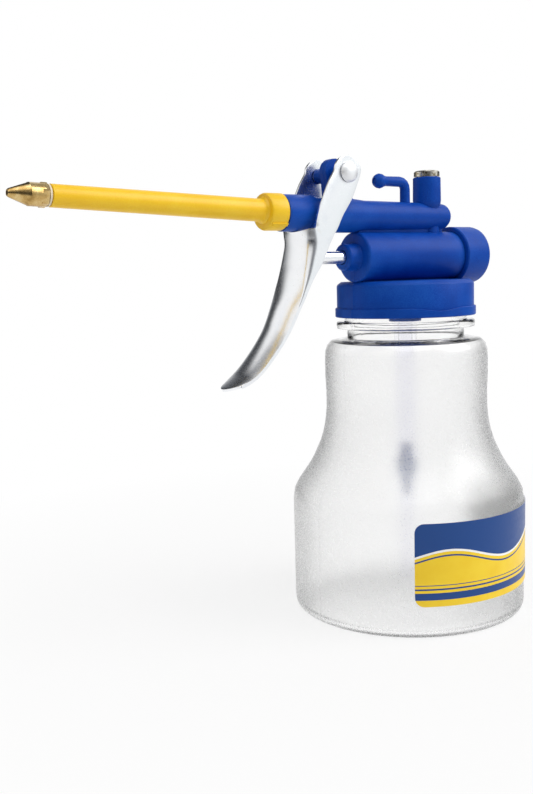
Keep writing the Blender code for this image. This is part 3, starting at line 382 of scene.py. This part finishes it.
def edit(piece, mode="VERT"):
    """Edit mode on this piece alone, with nothing in it selected."""
    take(piece)
    bpy.ops.object.mode_set(mode="EDIT")
    bpy.ops.mesh.select_mode(type=mode)
    bpy.ops.mesh.select_all(action="DESELECT")


def pick(piece, wanted):
    """Selects the vertices whose place passes the test, in edit mode."""
    mesh = bmesh.from_edit_mesh(piece.data)
    for vertex in mesh.verts:
        vertex.select = bool(wanted(vertex.co))
    mesh.select_flush_mode()
    bmesh.update_edit_mesh(piece.data)


def apply(piece, kind, **settings):
    """Adds a modifier, sets it up and applies it."""
    take(piece)
    made = piece.modifiers.new(kind, kind)
    for name, value in settings.items():
        setattr(made, name, value)
    bpy.ops.object.modifier_apply(modifier=made.name)


def shade(piece, degrees):
    """Smooth shading, with a sharp edge wherever two faces meet at more than this."""
    take(piece)
    bpy.ops.object.shade_smooth_by_angle(angle=math.radians(degrees))


def smooth_copy(node, name, degrees=32.0):
    """A welded copy of a CAD node that shades round where the real piece is round."""
    settle()
    source = frame["nodes"][node]
    piece = source.copy()
    piece.data = source.data.copy()
    piece.name = piece.data.name = name
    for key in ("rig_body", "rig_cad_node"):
        if key in piece:
            del piece[key]
    piece.parent = None
    scene.collection.objects.link(piece)
    take(piece)
    bpy.ops.mesh.customdata_custom_splitnormals_clear()
    edit(piece)
    bpy.ops.mesh.select_all(action="SELECT")
    bpy.ops.mesh.remove_doubles(threshold=WELD)
    shade(piece, degrees)
    return piece


def give(piece, body, stuff, slot_name, *nodes):
    """Sets the finish of a piece, the body it rides on and the CAD nodes it stands for."""
    piece.data.materials.clear()
    piece.data.materials.append(stuff)
    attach(piece, body)
    if nodes:
        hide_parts(*nodes)
    return piece


def outline(name, points):
    """An object of one open line through (x, z) points on the plane Y = 0: a small square is
    merged to one point, and that is extruded from point to point."""
    settle()
    bpy.ops.mesh.primitive_plane_add(size=1 * MM)
    piece = bpy.context.object
    piece.name = piece.data.name = name
    bpy.ops.object.mode_set(mode="EDIT")
    bpy.ops.mesh.merge(type="CENTER")
    bpy.ops.transform.translate(value=(points[0][0], 0.0, points[0][1]))
    for (x0, z0), (x1, z1) in zip(points, points[1:]):
        bpy.ops.mesh.extrude_region_move(
            TRANSFORM_OT_translate={"value": (x1 - x0, 0.0, z1 - z0)})
    return piece


def bottle_profile():
    """The outside from the foot's middle up to the mouth, and the inside back down."""
    flank = [(0.964, 0.079), (0.849, 0.156), (0.691, 0.233), (0.525, 0.312), (0.396, 0.388),
             (0.288, 0.465), (0.187, 0.542), (0.115, 0.619), (0.065, 0.695), (0.029, 0.770),
             (0.007, 0.847)]
    rise, over = SHOULDER_Z - WAIST_Z, UPPER_R - NECK_R
    side = [(BODY_R - 3.0 * MM, 0.0), (BODY_R - 2.1 * MM, 0.15 * MM),
            (BODY_R - 1.4 * MM, 0.6 * MM), (BODY_R - 0.8 * MM, 1.2 * MM),
            (BODY_R - 0.4 * MM, 1.9 * MM), (BODY_R - 0.1 * MM, 2.9 * MM), (BODY_R, 3.8 * MM),
            (BODY_R, 20.0 * MM), (BODY_R, BODY_TOP - 0.6 * MM)]
    side += [(WAIST_R + (BODY_R - WAIST_R) * f, BODY_TOP + (WAIST_Z - BODY_TOP) * g)
             for f, g in flank]
    side += [(WAIST_R, WAIST_Z), (UPPER_R, WAIST_Z + 0.30 * rise),
             (UPPER_R, WAIST_Z + 0.60 * rise), (NECK_R + 0.978 * over, WAIST_Z + 0.77 * rise),
             (NECK_R + 0.900 * over, WAIST_Z + 0.88 * rise),
             (NECK_R + 0.720 * over, WAIST_Z + 0.96 * rise),
             (NECK_R + 0.400 * over, WAIST_Z + 0.99 * rise)]
    outside = [(0.0, 0.9 * MM), (BODY_R - 9.0 * MM, 0.9 * MM), (BODY_R - 6.0 * MM, 0.3 * MM),
               (BODY_R - 4.5 * MM, 0.0)] + side
    outside += [(NECK_R + 0.6 * MM, SHOULDER_Z), (NECK_R + 0.15 * MM, SHOULDER_Z + 0.15 * MM),
                (NECK_R, SHOULDER_Z + 0.6 * MM), (NECK_R, RING_Z - 0.4 * MM),
                (NECK_R + 0.4 * MM, RING_Z), (RING_R - 0.6 * MM, RING_Z),
                (RING_R - 0.17 * MM, RING_Z + 0.17 * MM), (RING_R, RING_Z + 0.6 * MM),
                (RING_R, RING_TOP - 0.6 * MM), (RING_R - 0.17 * MM, RING_TOP - 0.17 * MM),
                (RING_R - 0.6 * MM, RING_TOP), (MOUTH_R + 0.3 * MM, RING_TOP),
                (MOUTH_R, RING_TOP + 0.3 * MM), (MOUTH_R, MOUTH_Z - 0.6 * MM),
                (MOUTH_R - 0.17 * MM, MOUTH_Z - 0.17 * MM), (MOUTH_R - 0.6 * MM, MOUTH_Z)]
    inside = [(MOUTH_BORE + 0.4 * MM, MOUTH_Z), (MOUTH_BORE, MOUTH_Z - 0.5 * MM),
              (MOUTH_BORE, SHOULDER_Z - 0.8 * MM)]
    for place in range(len(side) - 2, 6, -1):
        (r0, z0), (r1, z1) = side[place - 1], side[place + 1]
        run = math.hypot(r1 - r0, z1 - z0)
        r, z = side[place]
        inner = (r - WALL * (z1 - z0) / run, z + WALL * (r1 - r0) / run)
        if inner[0] > MOUTH_BORE + 0.6 * MM:
            inside.append(inner)
    inside += [(BODY_R - WALL, 4.2 * MM), (BODY_R - 1.4 * MM, 3.1 * MM),
               (BODY_R - 2.2 * MM, 2.1 * MM), (BODY_R - 4.0 * MM, 1.4 * MM),
               (BODY_R - 9.0 * MM, 1.9 * MM), (0.0, 1.9 * MM)]
    return outside, inside


def make_bottle():
    """The blown bottle: its section spun about Z, with the seam of the two mould halves."""
    outside, inside = bottle_profile()
    bottle = outline("bottle_shell", outside + inside)
    bpy.ops.mesh.select_all(action="SELECT")
    bpy.ops.mesh.spin(steps=BOTTLE_STEPS, angle=2 * math.pi, center=(0.0, 0.0, 0.0),
                      axis=(0.0, 0.0, 1.0))
    bpy.ops.mesh.select_all(action="SELECT")
    bpy.ops.mesh.remove_doubles(threshold=0.005 * MM)
    bpy.ops.mesh.normals_make_consistent(inside=False)
    for offset in (-BOTTLE_SEAM_HALF, BOTTLE_SEAM_HALF):
        bpy.ops.mesh.select_all(action="SELECT")
        bpy.ops.mesh.bisect(plane_co=(0.0, offset, 0.0), plane_no=(0.0, 1.0, 0.0))
    seam = [(r, z) for r, z in outside if r > NECK_R - 0.1 * MM and z > 1 * MM]
    pick(bottle, lambda co: abs(co.y) < 0.001 * MM and any(
        abs(abs(co.x) - r) + abs(co.z - z) < 0.02 * MM for r, z in seam))
    bpy.ops.transform.shrink_fatten(value=BOTTLE_SEAM)
    shade(bottle, 38.0)
    return give(bottle, "bottle", FROSTED, "bottle", "bottle")


def make_thread(name, root, proud, start):
    """A screw thread: a ridge on a wall of radius root, out by proud or in if that is less
    than 0. It winds up from the height start, and rises from the wall at both of its ends."""
    wall = root - math.copysign(THREAD_ROOT, proud)
    ridge = [(wall, start + THREAD_FOOT[0]), (root + proud, start + THREAD_CREST[0]),
             (root + proud, start + THREAD_CREST[1]), (wall, start + THREAD_FOOT[1])]
    thread = outline(name, ridge + ridge[:1])
    settle()
    steps = int(THREAD_STEPS * THREAD_TURNS)
    apply(thread, "SCREW", angle=2 * math.pi * THREAD_TURNS, steps=steps, render_steps=steps,
          screw_offset=THREAD_PITCH * THREAD_TURNS, axis="Z", use_merge_vertices=False)
    edit(thread)
    for k in range(THREAD_FADE):
        sink = proud * (1.0 - k / THREAD_FADE) * 0.98       # never quite flat
        for step in (k, steps - k):
            turn = 2 * math.pi * THREAD_TURNS * step / steps
            climb = THREAD_PITCH * THREAD_TURNS * step / steps
            away = Vector((math.cos(turn), math.sin(turn), 0.0))
            crest = [away * r + Vector((0, 0, z + climb)) for r, z in ridge[1:3]]
            pick(thread, lambda co: any((co - c).length < 0.01 * MM for c in crest))
            bpy.ops.transform.translate(value=-away * sink)
    bpy.ops.mesh.select_all(action="SELECT")
    bpy.ops.mesh.remove_doubles(threshold=WELD)
    bpy.ops.mesh.fill_holes(sides=0)
    bpy.ops.mesh.normals_make_consistent(inside=False)
    shade(thread, 50.0)
    return thread


def raise_part_line(piece):
    """Raises the fine line that the two halves of the mould leave on the plane Y = 0."""
    edit(piece)
    for offset in (-PART_LINE_HALF, 0.0, PART_LINE_HALF):
        bpy.ops.mesh.select_all(action="SELECT")
        bpy.ops.mesh.bisect(plane_co=(0.0, offset, 0.0), plane_no=(0.0, 1.0, 0.0))
    pick(piece, lambda co: abs(co.y) < 0.001 * MM)
    bpy.ops.transform.shrink_fatten(value=PART_LINE_PROUD)
    settle()


def lever_rows():
    """The lever from the side, from the ears down, in mm from the pivot. A row is its front
    corner, its rear edge, the bulge of the web, the round of its corners, its share of the
    full width, and how far the middle of an end is pushed on along the grip. The upper web
    bulges up to 1.3 mm further than the CAD's, as its bands of light show in the photograph."""
    rows = []
    for turn in (80.0, 62.0, 44.0, 25.0, 6.0):
        x = EAR_R / MM * math.cos(math.radians(turn))
        z = EAR_R / MM * math.sin(math.radians(turn))
        rows.append(((-x, z), (x, z), 0.0, 0.0, 1.0, 0.0))
    rows += [((-8.6, -3.4), (4.6, -3.1), 0.0, 0.0, 1.0, 0.0),
             ((-11.4, -9.1), (1.7, -9.1), 0.0, 0.0, 1.0, 0.0),
             ((-13.9, -14.6), (-2.6, -15.0), 0.0, 0.0, 1.0, 0.0)]
    web = [(-16.6, -19.6, 11.4, 1.4, 1.5, 1.0), (-16.6, -22.0, 9.8, 1.4, 2.1, 1.0),
           (-16.5, -25.2, 7.2, 1.3, 2.4, 1.0), (-17.8, -31.1, 5.3, 1.2, 2.0, 1.0),
           (-18.9, -35.6, 3.2, 1.5, 1.5, 1.0), (-20.2, -40.1, 1.9, 1.9, 0.6, 0.99),
           (-21.6, -43.9, 1.4, 2.3, 0.2, 0.97), (-23.4, -47.8, 1.2, 2.6, 0.0, 0.93),
           (-25.2, -51.4, 1.2, 2.6, 0.0, 0.89), (-27.2, -54.9, 1.2, 2.5, 0.0, 0.86),
           (-29.5, -58.1, 1.2, 2.4, 0.0, 0.84), (-32.1, -61.3, 1.2, 2.2, 0.0, 0.83),
           (-35.0, -64.5, 1.2, 2.0, 0.0, 0.82), (-37.8, -67.3, 1.2, 1.8, 0.0, 0.81),
           (-40.6, -69.6, 1.2, 1.5, 0.0, 0.78), (-43.3, -71.3, 1.2, 1.2, 0.0, 0.72),
           (-46.0, -72.7, 1.2, 0.8, 0.0, 0.60)]
    last = len(web) - 1
    for k, (x, z, depth, bulge, soft, share) in enumerate(web):
        (ax, az), (bx, bz) = web[max(k - 1, 0)][:2], web[min(k + 1, last)][:2]
        run = math.hypot(bx - ax, bz - az)
        rear = (x - (bz - az) / run * depth, z + (bx - ax) / run * depth)
        push = 1.2 if k == 0 else 4.2 if k == last else 0.0
        rows.append(((x, z), rear, bulge, soft, share, push))
    return rows, len(rows) - len(web)


def lever_line(rows, row):
    """The outer face's points along one row, from the rear of one ear to the rear of the
    other."""
    front, rear, bulge, soft, share, push = rows[row]
    corner = PIVOT + Vector((front[0], 0.0, front[1])) * MM
    edge = PIVOT + Vector((rear[0], 0.0, rear[1])) * MM
    back = (edge - corner).normalized()
    (ax, az), (bx, bz) = rows[max(row - 1, 0)][0], rows[min(row + 1, len(rows) - 1)][0]
    along = Vector((bx - ax, 0.0, bz - az)).normalized()
    half = LEVER_HALF * share
    start = 1.0 - soft * MM / LEVER_HALF * 1.15
    line = []
    for k in range(WEB_STEPS + 1):
        u = -math.cos(math.pi * k / WEB_STEPS)
        swell = bulge * (1.0 - u * u)
        if soft > 0.0 and abs(u) > start:
            swell -= soft * (1.0 - math.sqrt(1.0 - ((abs(u) - start) / (1.0 - start)) ** 2))
        power = 1.2 if push < 2.0 else 0.85
        nudge = push * max(0.0, math.cos(0.5 * math.pi * u)) ** power
        line.append(corner - back * swell * MM + along * nudge * MM + Vector((0, u * half, 0)))
    behind = edge + Vector((0, -half, 0))
    ear = [behind.lerp(line[0], k / EAR_STEPS) for k in range(EAR_STEPS)]
    other = [Vector((p.x, -p.y, p.z)) for p in reversed(ear)]
    return ear + line + other


def between_rows(lines, row, part, column, first):
    """A point of the smooth curve down one column, part of the way from a row to the next."""
    last = len(lines) - 1
    p0, p1, p2, p3 = (lines[min(max(k, first), last)][column] for k in range(row - 1, row + 3))
    return 0.5 * (2 * p1 + (p2 - p0) * part + (2 * p0 - 5 * p1 + 4 * p2 - p3) * part ** 2
                  + (3 * p1 - p0 - 3 * p2 + p3) * part ** 3)


def make_lever():
    """The pressed lever: a grid laid on the outer face, cut away between the ears, given the
    sheet's thickness and the pin's hole, and its edges rounded as the press leaves them."""
    rows, first_web = lever_rows()
    lines = [lever_line(rows, row) for row in range(len(rows))]
    wide = len(lines[0]) - 1
    tall = (len(rows) - 1) * LEVER_FINE
    settle()
    bpy.ops.mesh.primitive_grid_add(x_subdivisions=wide, y_subdivisions=tall, size=1.0)
    lever = bpy.context.object
    lever.name = lever.data.name = "squeeze_lever"
    edit(lever)
    mesh = bmesh.from_edit_mesh(lever.data)
    for vertex in mesh.verts:
        column = round((vertex.co.x + 0.5) * wide)
        step = round((0.5 - vertex.co.y) * tall)
        row = min(step // LEVER_FINE, len(rows) - 2)
        part = step / LEVER_FINE - row
        on_web = EAR_STEPS < column < wide - EAR_STEPS
        vertex.select = on_web and step < first_web * LEVER_FINE
        vertex.co = between_rows(lines, row, part, column, first_web if on_web else 0)
    mesh.select_flush_mode()
    bmesh.update_edit_mesh(lever.data)
    bpy.ops.mesh.delete(type="VERT")
    bpy.ops.mesh.select_all(action="SELECT")
    bpy.ops.mesh.normals_make_consistent(inside=False)
    mesh = bmesh.from_edit_mesh(lever.data)
    near_ear = min(mesh.faces, key=lambda face: (face.calc_center_median() - PIVOT).length
                   + face.calc_center_median().y)
    if near_ear.normal.y > 0.0:
        bpy.ops.mesh.flip_normals()
    apply(lever, "SOLIDIFY", thickness=LEVER_T, offset=-1.0, use_even_offset=True)
    settle()
    bpy.ops.mesh.primitive_cylinder_add(vertices=48, radius=PIN_HOLE_R, depth=3 * LEVER_HALF,
                                        location=PIVOT, rotation=(math.radians(90.0), 0, 0))
    hole = bpy.context.object
    apply(lever, "BOOLEAN", operation="DIFFERENCE", solver="EXACT", object=hole)
    bpy.data.objects.remove(hole, do_unlink=True)
    apply(lever, "BEVEL", width=0.28 * MM, segments=3, limit_method="ANGLE",
          angle_limit=math.radians(50.0))
    shade(lever, 45.0)
    return give(lever, "lever", BRIGHT, "lever", "lever")


def make_rivet():
    """The rivet, its heads pressed to low domes."""
    rivet = smooth_copy("lever_pin", "lever_rivet", 50.0)
    apply(rivet, "BEVEL", width=0.12 * MM, segments=2, limit_method="ANGLE",
          angle_limit=math.radians(50.0))
    shade(rivet, 60.0)
    return give(rivet, "lever", DULL, "lever_pin", "lever_pin")


make_bottle()
give(make_thread("neck_thread", MOUTH_R, THREAD_PROUD, THREAD_FROM), "bottle", FROSTED, "bottle")
give(make_thread("cap_thread", CAP_BORE, -THREAD_PROUD, THREAD_FROM + 0.5 * THREAD_PITCH),
     "head", BLUE, "pump_head")

head = smooth_copy("pump_head", "pump_moulding", 34.0)
raise_part_line(head)
shade(head, 34.0)
give(head, "head", BLUE, "pump_head", "pump_head")

make_lever()
make_rivet()

for node, name, body, stuff, degrees in (
        ("barrel_cap", "barrel_end_cap", "head", BLUE, 34.0),
        ("barrel_cap_ring", "end_cap_seal", "head", RUBBER, 34.0),
        ("cap_gasket", "mouth_gasket", "gasket", RUBBER, 34.0),
        ("gland_seal", "rod_seal", "head", RUBBER, 34.0),
        ("label", "wrap_label", "bottle", LABEL, 34.0),
        ("spout_ring", "spout_seal", "head", RUBBER, 34.0),
        ("spout", "spout_tube", "head", YELLOW, 34.0),
        ("nozzle_washer", "nozzle_seal", "head", WHITE, 34.0),
        ("nozzle", "nozzle_tip", "head", BRASS, 20.0),
        ("valve_plug", "valve_screw", "head", NICKEL, 26.0),
        ("plug_washer", "valve_seal", "head", RUBBER, 34.0),
        ("plunger_rod", "push_rod", "plunger", BRIGHT, 34.0),
        ("piston", "pump_piston", "plunger", WHITE, 34.0),
        ("piston_ring", "piston_seal", "plunger", RUBBER, 34.0),
        ("suction_tube", "dip_tube", "head", TUBING, 34.0),
        ("foot_valve", "suction_valve", "head", GREY_BLUE, 34.0),
        ("suction_hose", "suction_tail", "head", TUBING, 34.0)):
    give(smooth_copy(node, name, degrees), body, stuff, node, node)

for node in ("return_spring", "outlet_spring", "inlet_ball", "outlet_ball"):
    frame["nodes"][node].material_slots[0].material = WIRE


# Floor: white board that keeps the shadow near the object and fades to white further out
SHADOW_FROM = 0.06
SHADOW_TO = 0.30
SHADOW_GLOW = 0.80


def white_board():
    """Matt white board. Seen straight, in metal or through the bottle it is as pale as the
    photograph's ground. It keeps part of the shadow near the object, and none further out."""
    made, tree, place = new_material("white_board")
    path = add(tree, "LightPath")
    away = add(tree, "VectorMath", {0: place}, operation="LENGTH").outputs["Value"]
    pale = add(tree, "MapRange", {"Value": away, "From Min": SHADOW_FROM,
                                  "From Max": SHADOW_TO, "To Min": SHADOW_GLOW, "To Max": 1.0})
    seen = add(tree, "Math", {0: path.outputs["Is Camera Ray"], 1: pale}, operation="MULTIPLY")
    for ray in ("Is Glossy Ray", "Is Transmission Ray"):
        seen = add(tree, "Math", {0: seen, 1: path.outputs[ray]}, operation="MAXIMUM")
    board = add(tree, "BsdfDiffuse", {"Color": linear("F4F4F4")})
    glow = add(tree, "Emission", {"Color": linear("FFFFFF"), "Strength": 1.0})
    mix = add(tree, "MixShader", {0: seen, 1: board, 2: glow})
    add(tree, "OutputMaterial", {"Surface": mix})
    return made


settle()
bpy.ops.mesh.primitive_circle_add(vertices=96, radius=0.6, fill_type="NGON",
                                  location=(0.0, 0.0, -0.02 * MM))
floor = bpy.context.object
floor.name = "floor"
floor.data.materials.append(white_board())


def studio_world():
    """White to the camera. In metal it shows as a studio: pale all round, with dark gaps
    between the panels, which give bright metal its bands."""
    world = bpy.data.worlds.new("studio")
    scene.world = world
    world.use_nodes = True
    tree = world.node_tree
    tree.nodes.clear()
    axes = add(tree, "SeparateXYZ", {"Vector": add(tree, "TexCoord").outputs["Generated"]})
    angle = add(tree, "Math", {0: axes.outputs["Y"], 1: axes.outputs["X"]}, operation="ARCTAN2")
    turn = add(tree, "MapRange", {"Value": angle, "From Min": -math.pi, "From Max": math.pi})
    panels = add(tree, "ValToRGB", {"Fac": turn}, stops=[
        (0.00, "5A5C60"), (0.04, "3A3C40"), (0.13, "44464A"), (0.20, "6A6C70"),
        (0.26, "B0B2B5"), (0.31, "EEF2F4"), (0.40, "F6F9FA"), (0.44, "76787C"),
        (0.48, "303236"), (0.52, "66696E"), (0.56, "F6F7F9"), (0.67, "FFFFFF"),
        (0.71, "6A6D72"), (0.74, "2A2B2E"), (0.79, "303236"), (0.83, "FFFFFF"),
        (0.92, "FFFFFF"), (0.96, "8A8C90")])
    high = add(tree, "ValToRGB", {"Fac": turn}, stops=[
        (0.00, "FFFFFF"), (0.12, "FFFFFF"), (0.18, "7A7C80"), (0.26, "8A8C90"),
        (0.31, "FFFFFF"), (0.67, "FFFFFF"), (0.71, "6A6D72"), (0.74, "303236"),
        (0.79, "44464A"), (0.83, "FFFFFF")])
    rise = add(tree, "MapRange", {"Value": axes.outputs["Z"], "From Min": 0.18, "From Max": 0.38})
    banks = add(tree, "Mix", {0: rise, 6: panels, 7: high}, data_type="RGBA").outputs[2]
    up = add(tree, "MapRange", {"Value": axes.outputs["Z"], "From Min": -0.4, "From Max": 1.0})
    above = add(tree, "ValToRGB", {"Fac": up}, stops=[
        (0.00, "FFFFFF"), (0.81, "FFFFFF"), (0.87, "8A8C90"), (0.92, "8A8C90"),
        (0.97, "FFFFFF")])
    studio = add(tree, "Mix", {0: 1.0, 6: banks, 7: above}, data_type="RGBA",
                 blend_type="MULTIPLY").outputs[2]
    path = add(tree, "LightPath")
    shiny = add(tree, "Background", {"Color": studio, "Strength": 1.0})
    plain = add(tree, "Background", {"Color": linear("FFFFFF"), "Strength": 0.36})
    white = add(tree, "Background", {"Color": linear("FFFFFF"), "Strength": 1.0})
    first = add(tree, "MixShader", {0: path.outputs["Is Glossy Ray"], 1: plain, 2: shiny})
    seen = add(tree, "Math", {0: path.outputs["Is Camera Ray"],
                              1: path.outputs["Is Transmission Ray"]}, operation="MAXIMUM")
    second = add(tree, "MixShader", {0: seen, 1: first, 2: white})
    add(tree, "OutputWorld", {"Surface": second})


def panel_light(name, place, target, size, watts):
    """A square soft panel that faces its target."""
    lamp = bpy.data.lights.new(name, "AREA")
    lamp.size = size
    lamp.energy = watts
    made = bpy.data.objects.new(name, lamp)
    scene.collection.objects.link(made)
    made.location = place
    made.rotation_euler = (Vector(target) - Vector(place)).to_track_quat("-Z", "Y").to_euler()


studio_world()
panel_light("key", (0.85, -0.85, 1.10), (0.0, 0.0, 0.10), 1.1, 14.0)
panel_light("top", (-0.30, -0.55, 1.30), (0.0, 0.0, 0.10), 1.0, 6.0)

lens = bpy.data.cameras.new("photo_camera")
lens.lens = CAMERA_LENS
lens.sensor_width = 36.0
camera = bpy.data.objects.new("photo_camera", lens)
scene.collection.objects.link(camera)
level = Vector((math.cos(CAMERA_TURN), math.sin(CAMERA_TURN), 0.0))
ahead = Vector((-math.sin(CAMERA_TURN) * math.cos(CAMERA_DOWN),
                math.cos(CAMERA_TURN) * math.cos(CAMERA_DOWN), -math.sin(CAMERA_DOWN)))
upright = level.cross(ahead)
side = level * math.cos(CAMERA_ROLL) + upright * math.sin(CAMERA_ROLL)
top = upright * math.cos(CAMERA_ROLL) - level * math.sin(CAMERA_ROLL)
camera.matrix_world = Matrix((
    (side.x, top.x, -ahead.x, CAMERA_AT.x), (side.y, top.y, -ahead.y, CAMERA_AT.y),
    (side.z, top.z, -ahead.z, CAMERA_AT.z), (0.0, 0.0, 0.0, 1.0)))
scene.camera = camera
